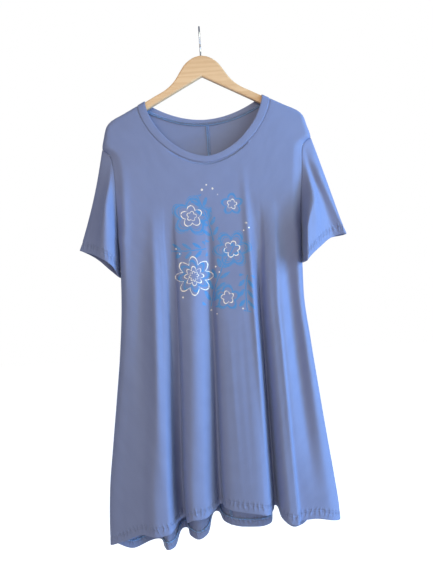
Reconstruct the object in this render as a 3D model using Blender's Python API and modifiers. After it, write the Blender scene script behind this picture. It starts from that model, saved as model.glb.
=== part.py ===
"""A flared jersey dress with short sleeves, hung on a plain wooden hanger.

The origin is where the inside of the hook's top rests on its rod. +Z is up, the front of the dress
faces -Y and the wearer's right side is at -X. Sizes are in metres. A "drop" is a distance down from
the origin, and a "half" is a half width to one side of the middle.
"""

import math

import bmesh
import bpy
from mathutils import Vector

# Cloth
WALL = 0.0012
DOUBLE_WALL = 0.0020
SEAM_GAP = 0.0003
HEM_DEPTH = 0.020
HEM_STEP = 0.0015
COLUMN_STEP = 0.018
STEEPEST = 2.8
SEAM_STRIP = 0.002
STRIP_PROBE = 0.004

# Hanger
ARM_SLOPE = 0.52
ARM_TOP_AT_NECK = 0.1618
ARM_NECK_HALF = 0.135
ARM_UNDER_SLOPE = 0.527
ARM_UNDER_DROP = 0.110
ARM_END_HALF = 0.2068
ARM_END_RADIUS = 0.0092
HANGER_THICKNESS = 0.011
HANGER_ROUNDING = 0.0035
HANGER_TOP_DROP = 0.0618

# Hook
WIRE_RADIUS = 0.00175
HOOK_INNER_RADIUS = 0.020
HOOK_TIP_ANGLE = -35
HOOK_LEAVE_ANGLE = 212
STEM_TOP_DROP = 0.052
STEM_END_DROP = 0.084
BORE_END_DROP = 0.086

# Neckline, at the seam between panels and band and at the band's open edge
NECK_SEAM_HALF = 0.150
NECK_SEAM_DROP = 0.1675
NECK_EDGE_HALF = 0.133
NECK_EDGE_DROP = NECK_SEAM_DROP - ARM_SLOPE * (NECK_SEAM_HALF - NECK_EDGE_HALF)
FRONT_SEAM_DEPTH = 0.144
FRONT_EDGE_DEPTH = 0.1383
BACK_SEAM_DEPTH = 0.0465
BACK_EDGE_DEPTH = 0.0413
NECKBAND_GAP = 0.0005

# Body
TIP_DROP = 0.262
UNDERARM_DROP = 0.470
CHEST_DROP = 0.500
FOLD_START_DROP = 0.400
CORE_HALF = 0.2125
TURN_AT_SHOULDER = 0.009
TURN_AT_SIDE = 0.019
DRAPE_LENGTH = 0.12
ARMHOLE_HALF_WIDTH = 0.013

# Outline of the body: from the neck along the shoulder, down the armhole, and down the side seam.
SIDE_OUTLINE = (
    # drop, half on the wearer's right, half on the wearer's left
    (0.1467, 0.1100, 0.1100),
    (0.1675, 0.1500, 0.1500),
    (0.1850, 0.1837, 0.1837),
    (0.1990, 0.2116, 0.2116),
    (0.2120, 0.2235, 0.2240),
    (0.2360, 0.2305, 0.2315),
    (0.2620, 0.2355, 0.2385),
    (0.2720, 0.2240, 0.2245),
    (0.2880, 0.2150, 0.2160),
    (0.3200, 0.2100, 0.2125),
    (0.3550, 0.2080, 0.2095),
    (0.4300, 0.2090, 0.2050),
    (0.4700, 0.2110, 0.2045),
    (0.5000, 0.2095, 0.2020),
    (0.5600, 0.2105, 0.2010),
    (0.6110, 0.2125, 0.2020),
    (0.7200, 0.2220, 0.2115),
    (0.8300, 0.2365, 0.2225),
    (0.9400, 0.2520, 0.2345),
    (1.0300, 0.2640, 0.2450),
    (1.1000, 0.2690, 0.2520),
    (1.1600, 0.2710, 0.2550),
)

# Rows of the panels' grids, where they meet the shoulder, armhole and side seams.
SIDE_DROPS = (
    0.1675, 0.1760, 0.1870, 0.1990, 0.2120, 0.2340, TIP_DROP,
    0.2700, 0.2820, 0.3050, 0.3400, 0.3800, 0.4200, 0.4500, UNDERARM_DROP,
    0.5000, 0.5500, 0.6100, 0.6800, 0.7600, 0.8400, 0.9200, 1.0000, 1.0700,
)

# Folds of the front, from the wearer's right to left. "out" is the distance in front of the seams.
FRONT_HEM_LEVEL = 1.100
FRONT_FOLDS = (
    # name, x at chest, x at hem, out at hem, hem drop
    ("right_seam", -0.2095, -0.2700, 0.000, 1.158),
    ("right_turn", -0.2040, -0.2650, 0.015, 1.155),
    ("right_plane", -0.1760, -0.2290, 0.028, 1.139),
    ("right_plane_end", -0.1460, -0.1860, 0.045, 1.119),
    ("crest_1", -0.1230, -0.1490, 0.068, 1.117),
    ("crest_1_side", -0.1110, -0.1220, 0.056, 1.112),
    ("valley_1", -0.0870, -0.1010, 0.014, 1.109),
    ("crest_2", -0.0470, -0.0700, 0.062, 1.088),
    ("crest_2_side", -0.0280, -0.0500, 0.050, 1.088),
    ("valley_2", -0.0060, -0.0210, 0.013, 1.077),
    ("crest_3_rise", 0.0120, -0.0050, 0.046, 1.071),
    ("crest_3", 0.0360, 0.0300, 0.066, 1.076),
    ("crest_3_flat", 0.0620, 0.0680, 0.067, 1.081),
    ("crest_3_side", 0.0860, 0.0930, 0.056, 1.086),
    ("valley_3", 0.1100, 0.1050, 0.009, 1.092),
    ("crest_4_rise", 0.1250, 0.1200, 0.046, 1.104),
    ("crest_4", 0.1440, 0.1520, 0.058, 1.111),
    ("valley_4", 0.1720, 0.1900, 0.037, 1.110),
    ("left_plane", 0.1880, 0.2240, 0.030, 1.116),
    ("left_turn", 0.1970, 0.2490, 0.014, 1.127),
    ("left_seam", 0.2020, 0.2540, 0.000, 1.130),
)
FRONT_DRAPE = 0.020
FRONT_CREASES = (
    # x and drop at the top, x and drop at the foot, half width, out
    (-0.156, 0.480, -0.178, 0.880, 0.016, -0.006),
    (-0.121, 0.460, -0.122, 0.800, 0.014, 0.004),
    (0.172, 0.440, 0.192, 0.900, 0.012, -0.005),
    (0.140, 0.440, 0.156, 0.800, 0.013, 0.004),
    (-0.188, 0.300, -0.200, 0.600, 0.012, 0.004),
)

# Folds of the back, from the wearer's right to left. "out" is the distance behind the seams.
BACK_HEM_LEVEL = 1.150
CENTRE_BACK = "centre_back"
BACK_FOLDS = (
    # name, x at chest, x at hem, out at hem, hem drop
    ("right_seam", -0.2095, -0.2712, 0.000, 1.158),
    ("right_turn", -0.2040, -0.2660, 0.018, 1.166),
    ("near_1", -0.1850, -0.2250, 0.040, 1.194),
    ("far_1", -0.1560, -0.1750, 0.076, 1.196),
    ("near_2_rise", -0.1360, -0.1530, 0.036, 1.192),
    ("near_2", -0.1270, -0.1440, 0.022, 1.194),
    ("near_2_side", -0.1160, -0.1330, 0.034, 1.190),
    ("far_3", -0.0950, -0.1090, 0.080, 1.174),
    ("near_3_rise", -0.0770, -0.0900, 0.036, 1.172),
    ("near_3", -0.0600, -0.0720, 0.024, 1.175),
    ("near_3_side", -0.0420, -0.0530, 0.033, 1.169),
    ("far_4", -0.0200, -0.0290, 0.080, 1.137),
    ("near_4_rise", -0.0080, -0.0100, 0.044, 1.138),
    (CENTRE_BACK, 0.0010, 0.0060, 0.033, 1.145),
    ("near_4", 0.0200, 0.0320, 0.028, 1.151),
    ("near_4_flat", 0.0600, 0.0720, 0.028, 1.153),
    ("near_4_side", 0.0820, 0.0960, 0.040, 1.146),
    ("far_5", 0.0990, 0.1150, 0.080, 1.131),
    ("near_5_rise", 0.1150, 0.1300, 0.038, 1.149),
    ("near_5", 0.1320, 0.1520, 0.027, 1.160),
    ("near_5_side", 0.1460, 0.1690, 0.034, 1.159),
    ("far_6", 0.1680, 0.2020, 0.056, 1.150),
    ("left_turn", 0.1960, 0.2480, 0.020, 1.134),
    ("left_seam", 0.2020, 0.2543, 0.000, 1.130),
)
BACK_DRAPE = 0.018
BACK_CREASES = (
    # x and drop at the top, x and drop at the foot, half width, out
    (-0.150, 0.330, -0.165, 0.760, 0.018, -0.005),
    (0.148, 0.340, 0.160, 0.800, 0.017, -0.005),
    (-0.045, 0.300, -0.055, 0.700, 0.018, 0.003),
    (0.060, 0.310, 0.062, 0.720, 0.020, 0.003),
)

# Sleeves: the cuff's outer and inner corners, seen from the front, and its depth.
SLEEVES = {
    # side: (node, outer x, outer drop, inner x, inner drop, bow of the outer edge)
    -1: ("right_sleeve", -0.3000, 0.482, -0.2185, 0.556, -0.005),
    1: ("left_sleeve", 0.3050, 0.482, 0.2085, 0.544, 0.001),
}
SLEEVE_ROWS = 10
SLEEVE_OFFSET_AT_TIP = 0.0018
SLEEVE_OFFSET_AT_UNDERARM = 0.0021
CUFF_FRONT_DEPTH = 0.027
CUFF_BACK_DEPTH = 0.030
CUFF_BACK_LOWER = 0.014
SLEEVE_SWELL = 0.010
CUFF_HEM_SHARE = 0.90
SLEEVE_FOLDS = {
    # side: rows of (face, place at armhole, place at cuff, half width, out); the place runs from
    # 0 at the outer edge to 1 under the arm, and a face is -1 for the front and 1 for the back
    -1: (
        (-1, 0.20, 0.46, 0.16, 0.008),
        (-1, 0.46, 0.76, 0.08, -0.006),
        (-1, 0.10, 0.22, 0.12, -0.004),
        (1, 0.25, 0.45, 0.18, -0.007),
        (1, 0.45, 0.70, 0.12, 0.006),
    ),
    1: (
        (-1, 0.10, 0.17, 0.08, -0.008),
        (-1, 0.20, 0.33, 0.09, 0.007),
        (-1, 0.36, 0.50, 0.06, -0.005),
        (-1, 0.46, 0.62, 0.07, 0.006),
        (1, 0.28, 0.50, 0.18, -0.007),
        (1, 0.48, 0.72, 0.12, 0.006),
    ),
}

# Seam allowances that show inside the back
ALLOWANCE_WALL = 0.0010
NECK_ALLOWANCE_WIDTH = 0.0055
CENTRE_ALLOWANCE_HALF = 0.0026

COLOURS = {
    # slot: (colour, roughness, metallic)
    "jersey": ((0.17, 0.22, 0.40, 1.0), 0.75, 0.0),
    "overlock": ((0.13, 0.32, 0.72, 1.0), 0.70, 0.0),
    "beech": ((0.75, 0.50, 0.27, 1.0), 0.45, 0.0),
    "steel": ((0.62, 0.62, 0.63, 1.0), 0.25, 1.0),
}


def smooth_curve(keys, values, slope_at=None):
    """A curve through the values that never swings past them between two keys.

    slope_at gives the slope wanted at some keys, by number.
    """
    spans = [b - a for a, b in zip(keys, keys[1:])]
    slopes = [(b - a) / span for a, b, span in zip(values, values[1:], spans)]
    tangents = [slopes[0]]
    for before, after, span_before, span_after in zip(slopes, slopes[1:], spans, spans[1:]):
        if before * after <= 0:
            tangents.append(0.0)
            continue
        weight_before = 2 * span_after + span_before
        weight_after = span_after + 2 * span_before
        total = weight_before + weight_after
        tangents.append(total / (weight_before / before + weight_after / after))
    tangents.append(slopes[-1])
    for n, slope in (slope_at or {}).items():
        tangents[n] = min(slope, STEEPEST * min(slopes[n - 1], slopes[n]))

    def value_at(key):
        if key <= keys[0]:
            return values[0] + tangents[0] * (key - keys[0])
        if key >= keys[-1]:
            return values[-1] + tangents[-1] * (key - keys[-1])
        i = next(n for n in range(len(spans)) if key <= keys[n + 1])
        t = (key - keys[i]) / spans[i]
        start = values[i] * (1 + 2 * t) * (1 - t) ** 2 + tangents[i] * spans[i] * t * (1 - t) ** 2
        end = values[i + 1] * (3 - 2 * t) * t * t - tangents[i + 1] * spans[i] * t * t * (1 - t)
        return start + end

    return value_at


def mix(a, b, share):
    return a + (b - a) * share


def clamp(value, low=0.0, high=1.0):
    return max(low, min(high, value))


def ease(share):
    share = clamp(share)
    return share * share * (3 - 2 * share)


def rounding(share):
    """A quarter round: 0 at 0, rising steeply, level at 1."""
    return math.sqrt(1 - (1 - clamp(share)) ** 2)


OUTLINE_DROPS = [row[0] for row in SIDE_OUTLINE]
BODY_HALF = {
    -1: smooth_curve(OUTLINE_DROPS, [row[1] for row in SIDE_OUTLINE]),
    1: smooth_curve(OUTLINE_DROPS, [row[2] for row in SIDE_OUTLINE]),
}


def armhole_open(drop):
    """How far the armhole's front and back edges stand apart, from 0 at its ends to 1."""
    share = (drop - TIP_DROP) / (UNDERARM_DROP - TIP_DROP)
    return math.sqrt(math.sin(math.pi * share)) if 0 < share < 1 else 0.0


def drape_depth(x, drop, drape):
    """Distance from the seam plane to cloth that falls from the hanger's arm, before any fold."""
    arm_line = NECK_SEAM_DROP + ARM_SLOPE * (abs(x) - NECK_SEAM_HALF)
    fall = max(0.0, drop - arm_line)
    full = TURN_AT_SHOULDER + drape * (1 - math.exp(-fall / DRAPE_LENGTH))
    half = BODY_HALF[-1 if x < 0 else 1]
    step = 0.002
    slope = max(0.0, (half(drop + step) - half(drop - step)) / (2 * step))
    inward = max(0.0, half(drop) - abs(x)) / math.hypot(1, slope)
    turn = mix(TURN_AT_SHOULDER, TURN_AT_SIDE, ease((drop - 0.205) / 0.09))
    opening = armhole_open(drop)
    rise = mix(rounding(inward / turn), ease(inward / (2 * turn)), opening)
    return mix(ARMHOLE_HALF_WIDTH * opening, full, rise)


def crease_out(x, drop, creases):
    """Soft troughs and ridges, each along a line that fades out at both ends."""
    out = 0.0
    for top_x, top_drop, foot_x, foot_drop, half_width, height in creases:
        along = (drop - top_drop) / (foot_drop - top_drop)
        if 0 < along < 1:
            away = (x - mix(top_x, foot_x, along)) / half_width
            out += height * math.sin(math.pi * along) * math.exp(-away * away)
    return out


def front_neck_half(drop, half, top, depth):
    share = clamp((drop - top) / depth)
    return half * (1 - share ** (1 / 0.62)) ** (1 / 1.75)


def back_neck_half(drop, half, top, depth):
    return half * math.sqrt(1 - clamp((drop - top) / depth))


class Side:
    """The front or the back of the body: a surface whose columns run from neckline to hem."""

    def __init__(self, sign, folds, hem_level, drape, creases, neck_half, neck_depth):
        self.sign, self.hem_level, self.drape, self.creases = sign, hem_level, drape, creases
        self.neck_half, self.neck_depth = neck_half, neck_depth
        steps = [math.hypot(b[2] - a[2], b[3] - a[3]) for a, b in zip(folds, folds[1:])]
        girth = sum(steps)
        self.places = [sum(steps[:n]) / girth for n in range(len(folds))]
        self.named = {row[0]: place for row, place in zip(folds, self.places)}
        chest_width = folds[-1][1] - folds[0][1]
        hem_width = folds[-1][2] - folds[0][2]
        self.chest_share = smooth_curve(
            self.places, [(row[1] - folds[0][1]) / chest_width for row in folds]
        )
        outs = [row[3] for row in folds]
        turns = [
            n for n in range(1, len(outs) - 1) if (outs[n] - outs[n - 1]) * (outs[n + 1] - outs[n]) < 0
        ]
        self.hem_share = smooth_curve(
            self.places,
            [(row[2] - folds[0][2]) / hem_width for row in folds],
            {n: girth / hem_width for n in turns},
        )
        self.fold_out = smooth_curve(self.places, outs)
        self.hem_drop = smooth_curve(self.places, [row[4] for row in folds])
        self.columns = self.spaced_columns(girth)

    def spaced_columns(self, girth):
        """Places of the columns: one on each fold, and more between them and at the two seams."""
        columns = []
        for n, (a, b) in enumerate(zip(self.places, self.places[1:])):
            at_seam = n in (0, len(self.places) - 2)
            count = 2 if at_seam else max(1, round((b - a) * girth / COLUMN_STEP))
            columns += [mix(a, b, k / count) for k in range(count)]
        return columns + [1.0]

    def across(self, place, drop):
        """x of a column at a drop."""
        toward_hem = max(0.0, (drop - CHEST_DROP) / (self.hem_level - CHEST_DROP))
        share = mix(self.chest_share(place), self.hem_share(place), toward_hem)
        right, left = BODY_HALF[-1](drop), BODY_HALF[1](drop)
        if drop > UNDERARM_DROP:
            return mix(-right, left, share)
        core_right, core_left = min(right, CORE_HALF), min(left, CORE_HALF)
        centred = 2 * share - 1
        flare = (left - core_left) if centred > 0 else (core_right - right)
        return mix(-core_right, core_left, share) + flare * centred**12

    def out(self, place, x, drop):
        """Distance of the surface from the seam plane."""
        grown = max(0.0, (drop - FOLD_START_DROP) / (self.hem_level - FOLD_START_DROP))
        plain = drape_depth(x, drop, self.drape)
        edge = rounding(min(place, 1 - place) / 0.05)
        folded = mix(plain, self.fold_out(place), grown)
        return max(0.0, folded + edge * crease_out(x, drop, self.creases))

    def point(self, place, drop):
        x = self.across(place, drop)
        y = self.sign * (SEAM_GAP / 2 + self.out(place, x, drop))
        return Vector((x, y, -drop))

    def surface_at(self, x, drop):
        """The plain surface above the folds, where the neckband lies."""
        return Vector((x, self.sign * drape_depth(x, drop, self.drape), -drop))

    def top_drop(self, place):
        """Drop at which a column meets the neckline's seam."""
        high, low = NECK_SEAM_DROP, NECK_SEAM_DROP + self.neck_depth
        for _ in range(40):
            middle = (high + low) / 2
            neck = self.neck_half(middle, NECK_SEAM_HALF, NECK_SEAM_DROP, self.neck_depth)
            if abs(self.across(place, middle)) < neck:
                high = middle
            else:
                low = middle
        return high

    def row_drops(self, place):
        """Drops of a column's points: the seam's rows, squeezed to fit its neckline and hem."""
        top, hem = self.top_drop(place), self.hem_drop(place)
        share = self.chest_share(place)
        drops = []
        for seam_drop in SIDE_DROPS:
            down = seam_drop - NECK_SEAM_DROP
            right = down / (self.hem_drop(0) - NECK_SEAM_DROP)
            left = down / (self.hem_drop(1) - NECK_SEAM_DROP)
            drops.append(mix(top, hem, mix(right, left, share)))
        return drops + [hem - HEM_DEPTH - HEM_STEP, hem - HEM_DEPTH, hem]

    def column(self, place):
        return [self.point(place, drop) for drop in self.row_drops(place)]

    def strip(self, place, way):
        """A column just beside a seam. There the cloth lies straight, so that walls meet squarely."""
        column = []
        for drop in self.row_drops(place):
            seam = self.point(place, drop)
            beside = self.point(place + way * STRIP_PROBE, drop)
            if place in (0, 1):
                across = beside - seam if armhole_open(drop) else Vector((0, self.sign, 0))
            else:
                across = (beside - self.point(place - way * STRIP_PROBE, drop)) / 2
            column.append(seam + across.normalized() * SEAM_STRIP)
        return column

    def columns_between(self, first, last):
        """Columns of points from one seam to the next."""
        inner = [place for place in self.columns if first < place < last]
        columns = [self.column(first), self.strip(first, 1)]
        columns += [self.column(place) for place in inner]
        return columns + [self.strip(last, -1), self.column(last)]


FRONT = Side(
    -1, FRONT_FOLDS, FRONT_HEM_LEVEL, FRONT_DRAPE, FRONT_CREASES, front_neck_half, FRONT_SEAM_DEPTH
)
BACK = Side(
    1, BACK_FOLDS, BACK_HEM_LEVEL, BACK_DRAPE, BACK_CREASES, back_neck_half, BACK_SEAM_DEPTH
)


def clear_scene():
    for obj in list(bpy.data.objects):
        bpy.data.objects.remove(obj, do_unlink=True)


def material(slot):
    found = bpy.data.materials.get(slot)
    if found:
        return found
    colour, roughness, metallic = COLOURS[slot]
    made = bpy.data.materials.new(slot)
    made.use_nodes = True
    shader = made.node_tree.nodes["Principled BSDF"]
    shader.inputs["Base Color"].default_value = colour
    shader.inputs["Roughness"].default_value = roughness
    shader.inputs["Metallic"].default_value = metallic
    return made


def add_object(name, mesh, slot, collection):
    obj = bpy.data.objects.new(name, mesh)
    mesh.materials.clear()
    mesh.materials.append(material(slot))
    collection.objects.link(obj)
    return obj


def cloth_piece(name, columns, slot, collection, wall=WALL, closed=False, hem_rows=0):
    """A sheet through columns of points, given its thickness. hem_rows are folded double."""
    count, rows = len(columns), len(columns[0])
    bm = bmesh.new()
    bmesh.ops.create_grid(bm, x_segments=count - 1, y_segments=rows - 1, size=1)
    bm.verts.ensure_lookup_table()
    for n, vert in enumerate(bm.verts):
        vert.co = columns[n % count][n // count]
    bmesh.ops.recalc_face_normals(bm, faces=bm.faces)
    mesh = bpy.data.meshes.new(name)
    bm.to_mesh(mesh)
    bm.free()
    obj = add_object(name, mesh, slot, collection)
    solid = obj.modifiers.new("Thickness", "SOLIDIFY")
    solid.offset = 0
    solid.use_even_offset = True
    solid.thickness = wall
    if hem_rows:
        solid.thickness = DOUBLE_WALL
        folded = obj.vertex_groups.new(name="folded")
        first_folded = (rows - hem_rows) * count
        folded.add(list(range(first_folded, count * rows)), 1.0, "REPLACE")
        folded.add(list(range(first_folded)), wall / DOUBLE_WALL, "REPLACE")
        solid.vertex_group = "folded"
    if closed:
        weld_seam(mesh)
    mesh.shade_smooth()
    return obj


def weld_seam(mesh):
    bm = bmesh.new()
    bm.from_mesh(mesh)
    bmesh.ops.remove_doubles(bm, verts=bm.verts, dist=1e-6)
    bmesh.ops.recalc_face_normals(bm, faces=bm.faces)
    bm.to_mesh(mesh)
    bm.free()


def make_front(collection):
    columns = FRONT.columns_between(0, 1)
    return cloth_piece("front", columns, "jersey", collection, hem_rows=2)


def make_back_halves(collection):
    """The back is cut in two, and seamed down the middle."""
    centre = BACK.named[CENTRE_BACK]
    halves = {}
    for name, side, first, last in (("back_right", -1, 0, centre), ("back_left", 1, centre, 1)):
        columns = BACK.columns_between(first, last)
        middle, beside = (columns[-1], columns[-2]) if side < 0 else (columns[0], columns[1])
        for point, inner in zip(middle, beside):
            point += (inner - point).normalized() * SEAM_GAP / 2
        halves[side] = columns
        cloth_piece(name, columns, "jersey", collection, hem_rows=2)
    return halves


def neckband_ring():
    """Points of the neckband, (seam edge, middle, open edge) for each column of the two sides."""
    ring = []
    for side, edge_depth, neck_half in (
        (FRONT, FRONT_EDGE_DEPTH, front_neck_half),
        (BACK, BACK_EDGE_DEPTH, back_neck_half),
    ):
        stations = []
        for place in side.columns:
            seam_drop = side.top_drop(place)
            seam_x = side.across(place, seam_drop)
            share = (seam_drop - NECK_SEAM_DROP) / side.neck_depth
            edge_drop = NECK_EDGE_DROP + share * edge_depth
            edge_half = neck_half(edge_drop, NECK_EDGE_HALF, NECK_EDGE_DROP, edge_depth)
            edge_x = math.copysign(edge_half, seam_x) if abs(seam_x) > 1e-6 else 0.0
            width = math.hypot(edge_x - seam_x, edge_drop - seam_drop)
            inset = NECKBAND_GAP / width
            row = []
            for across in (inset, 0.5, 1.0):
                x, drop = mix(seam_x, edge_x, across), mix(seam_drop, edge_drop, across)
                row.append(side.surface_at(x, drop))
            stations.append(row)
        ring.append(stations)
    front, back = ring
    return front, back


def make_neckband(collection):
    front, back = neckband_ring()
    loop = front + list(reversed(back))[1:-1]
    loop.append(front[0])
    return cloth_piece("neckband", loop, "jersey", collection, wall=DOUBLE_WALL, closed=True)


def make_neck_allowance(collection):
    """The overlocked seam allowance, pressed up over the inside of the back of the band."""
    _, back = neckband_ring()
    columns = []
    lift = DOUBLE_WALL / 2 + SEAM_GAP + ALLOWANCE_WALL / 2
    for before, station, after in zip(back[1:], back[2:], back[3:]):
        seam, _, edge = station
        up = (edge - seam).normalized()
        inward = up.cross(after[0] - before[0]).normalized()
        if inward.y > 0:
            inward.negate()
        columns.append([seam + inward * lift, seam + inward * lift + up * NECK_ALLOWANCE_WIDTH])
    trimmed = [c for c in columns if abs(c[0].x) < ARM_NECK_HALF]
    return cloth_piece("neck_allowance", trimmed, "overlock", collection, wall=ALLOWANCE_WALL)


def make_centre_allowance(halves, collection):
    """The overlocked allowance of the centre back seam, on the inside of the back."""
    right, left = halves[-1], halves[1]
    lift = WALL / 2 + SEAM_GAP + ALLOWANCE_WALL / 2
    extra_at_hem = (DOUBLE_WALL - WALL) / 2
    columns = [[], [], []]
    rows = len(left[0])
    for n in range(rows - 1):
        centre = (right[-1][n] + left[0][n]) / 2
        down = (left[0][n + 1] - left[0][n]).normalized()
        to_right = (right[-2][n] - centre).normalized()
        to_left = (left[1][n] - centre).normalized()
        inward = down.cross(to_left - to_right).normalized()
        if inward.y > 0:
            inward.negate()
        reach = lift + (extra_at_hem if n > rows - 4 else 0.0)
        if n == 0:
            centre = centre + down * 2 * SEAM_GAP
        columns[0].append(centre + to_right * CENTRE_ALLOWANCE_HALF + inward * reach)
        columns[1].append(centre + inward * reach)
        columns[2].append(centre + to_left * CENTRE_ALLOWANCE_HALF + inward * reach)
    return cloth_piece("centre_allowance", columns, "overlock", collection, wall=ALLOWANCE_WALL)


def armhole_ring(side):
    """Points down the front of the armhole and up its back, each (point, place, face)."""
    place = 0.0 if side < 0 else 1.0
    drops = [d for d in SIDE_DROPS if TIP_DROP <= d <= UNDERARM_DROP]
    edges = {}
    for face, body in ((-1, FRONT), (1, BACK)):
        points = []
        for a, b in zip(drops, drops[1:]):
            start, end = body.point(place, a), body.point(place, b)
            points += [start, start.lerp(end, 0.5)]
        edges[face] = points + [body.point(place, drops[-1])]
    ring = []
    for face, points in ((-1, edges[-1]), (1, list(reversed(edges[1]))[1:-1])):
        for point in points:
            share = (-point.z - TIP_DROP) / (UNDERARM_DROP - TIP_DROP)
            point.x += side * mix(SLEEVE_OFFSET_AT_TIP, SLEEVE_OFFSET_AT_UNDERARM, share)
            if share < 1e-6 or share > 1 - 1e-6:
                point.y = 0.0
            ring.append((point, clamp(share), face))
    return ring


def cuff_point(side, share, face):
    _, outer_x, outer_drop, inner_x, inner_drop, _ = SLEEVES[side]
    turn = math.pi * share
    toward_inner = (1 - math.cos(turn)) / 2
    bulge = math.sin(turn) ** 0.75 if 0 < share < 1 else 0.0
    depth = CUFF_FRONT_DEPTH if face < 0 else CUFF_BACK_DEPTH
    lower = CUFF_BACK_LOWER * bulge if face > 0 else 0.0
    x = mix(outer_x, inner_x, toward_inner)
    drop = mix(outer_drop, inner_drop, toward_inner) + lower
    return Vector((x, face * depth * bulge, -drop))


def sleeve_fold_out(side, face, share, along):
    out = 0.0
    for fold_face, at_armhole, at_cuff, half_width, height in SLEEVE_FOLDS[side]:
        if fold_face == face:
            away = (share - mix(at_armhole, at_cuff, along)) / half_width
            out += height * math.exp(-away * away)
    return out * ease(along * 2.5) * math.sqrt(math.sin(math.pi * clamp(share)))


def make_sleeve(side, collection):
    columns = []
    rows = [k / (SLEEVE_ROWS - 1) * CUFF_HEM_SHARE for k in range(SLEEVE_ROWS)]
    rows += [CUFF_HEM_SHARE + 0.008, 1.0]
    for start, share, face in armhole_ring(side):
        end = cuff_point(side, share, face)
        column = []
        for along in rows:
            point = start.lerp(end, along)
            midway = math.sin(math.pi * along)
            swell = SLEEVE_SWELL * midway * math.sin(math.pi * share)
            point.y += face * (swell + sleeve_fold_out(side, face, share, along))
            point.x += side * SLEEVES[side][5] * midway * (1 - share)
            column.append(point)
        columns.append(column)
    columns.append([point.copy() for point in columns[0]])
    return cloth_piece(
        SLEEVES[side][0], columns, "jersey", collection, closed=True, hem_rows=2
    )


def hanger_outline():
    """Half of the hanger's front view, as (x, drop), from the top of the head to the inner peak."""
    head = (
        (0.0, HANGER_TOP_DROP), (0.013, 0.0640), (0.026, 0.0702), (0.039, 0.0810),
        (0.050, 0.0965), (0.060, 0.1120), (0.073, 0.1262), (0.088, 0.1372), (0.108, 0.1475),
        (ARM_NECK_HALF, ARM_TOP_AT_NECK),
    )
    edge = smooth_curve([x for x, _ in head], [drop for _, drop in head])
    steps = 20
    points = [
        (ARM_NECK_HALF * k / steps, edge(ARM_NECK_HALF * k / steps)) for k in range(steps + 1)
    ]
    top = ARM_TOP_AT_NECK + ARM_SLOPE * (ARM_END_HALF - ARM_NECK_HALF)
    under = ARM_UNDER_DROP + ARM_UNDER_SLOPE * ARM_END_HALF
    end_drop = (top + under) / 2
    lean = math.atan(ARM_SLOPE)
    arc_steps = 8
    for k in range(arc_steps + 1):
        turn = math.pi / 2 - lean - math.pi * k / arc_steps
        points.append(
            (
                ARM_END_HALF + ARM_END_RADIUS * math.cos(turn),
                end_drop - ARM_END_RADIUS * math.sin(turn),
            )
        )
    points.append((0.0, ARM_UNDER_DROP))
    return points


def mesh_from_curve(obj):
    """The curve's evaluated shape as a mesh with its caps welded on."""
    graph = bpy.context.evaluated_depsgraph_get()
    mesh = bpy.data.meshes.new_from_object(obj.evaluated_get(graph))
    bm = bmesh.new()
    bm.from_mesh(mesh)
    bmesh.ops.remove_doubles(bm, verts=bm.verts, dist=1e-6)
    bmesh.ops.recalc_face_normals(bm, faces=bm.faces)
    bm.to_mesh(mesh)
    bm.free()
    mesh.transform(obj.matrix_world)
    return mesh


def make_hanger(collection, cutters):
    half = hanger_outline()
    outline = half + [(-x, drop) for x, drop in reversed(half[1:-1])]
    curve = bpy.data.curves.new("hanger_outline", "CURVE")
    curve.dimensions = "2D"
    curve.fill_mode = "BOTH"
    curve.extrude = HANGER_THICKNESS / 2 - HANGER_ROUNDING
    curve.bevel_depth = HANGER_ROUNDING
    curve.bevel_resolution = 1
    curve.offset = -HANGER_ROUNDING
    spline = curve.splines.new("POLY")
    spline.points.add(len(outline) - 1)
    for point, (x, drop) in zip(spline.points, outline):
        point.co = (x, -drop, 0, 1)
    spline.use_cyclic_u = True
    flat = bpy.data.objects.new("hanger_outline", curve)
    flat.rotation_euler = (math.pi / 2, 0, 0)
    collection.objects.link(flat)
    bpy.context.view_layer.update()
    mesh = mesh_from_curve(flat)
    bpy.data.objects.remove(flat)
    hanger = add_object("hanger", mesh, "beech", collection)
    bore = make_bore(cutters)
    cut = hanger.modifiers.new("Hook bore", "BOOLEAN")
    cut.operation = "DIFFERENCE"
    cut.object = bore
    mesh.shade_smooth()
    mesh.set_sharp_from_angle(angle=math.radians(40))
    return hanger


def make_bore(cutters):
    """The blind hole in the hanger's head that the hook's stem stands in."""
    bottom, top = -BORE_END_DROP, -HANGER_TOP_DROP + 0.01
    bpy.ops.mesh.primitive_cylinder_add(
        vertices=16,
        radius=WIRE_RADIUS + SEAM_GAP,
        depth=top - bottom,
        location=(0, 0, (top + bottom) / 2),
    )
    bore = bpy.context.object
    bore.name = "hook_bore"
    bore.hide_render = True
    bore.display_type = "WIRE"
    for owner in list(bore.users_collection):
        owner.objects.unlink(bore)
    cutters.objects.link(bore)
    return bore


def hook_path():
    """The wire's centre line in the plane across the hanger, as (y, z)."""
    radius = HOOK_INNER_RADIUS + WIRE_RADIUS
    middle = -HOOK_INNER_RADIUS
    steps = 22
    points = []
    for k in range(steps + 1):
        turn = math.radians(mix(HOOK_TIP_ANGLE, HOOK_LEAVE_ANGLE, k / steps))
        points.append(Vector((0, radius * math.cos(turn), middle + radius * math.sin(turn))))
    leave = points[-1]
    heading = (points[-1] - points[-2]).normalized()
    stem_top = Vector((0, 0, -STEM_TOP_DROP))
    reach = (stem_top - leave).length
    bend_steps = 6
    for k in range(1, bend_steps + 1):
        t = k / bend_steps
        start = leave * (1 - t) ** 3 + (leave + heading * reach * 0.4) * 3 * t * (1 - t) ** 2
        rise = Vector((0, 0, reach * 0.4))
        end = (stem_top + rise) * 3 * t * t * (1 - t) + stem_top * t**3
        points.append(start + end)
    points.append(Vector((0, 0, -STEM_END_DROP)))
    return points


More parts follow.
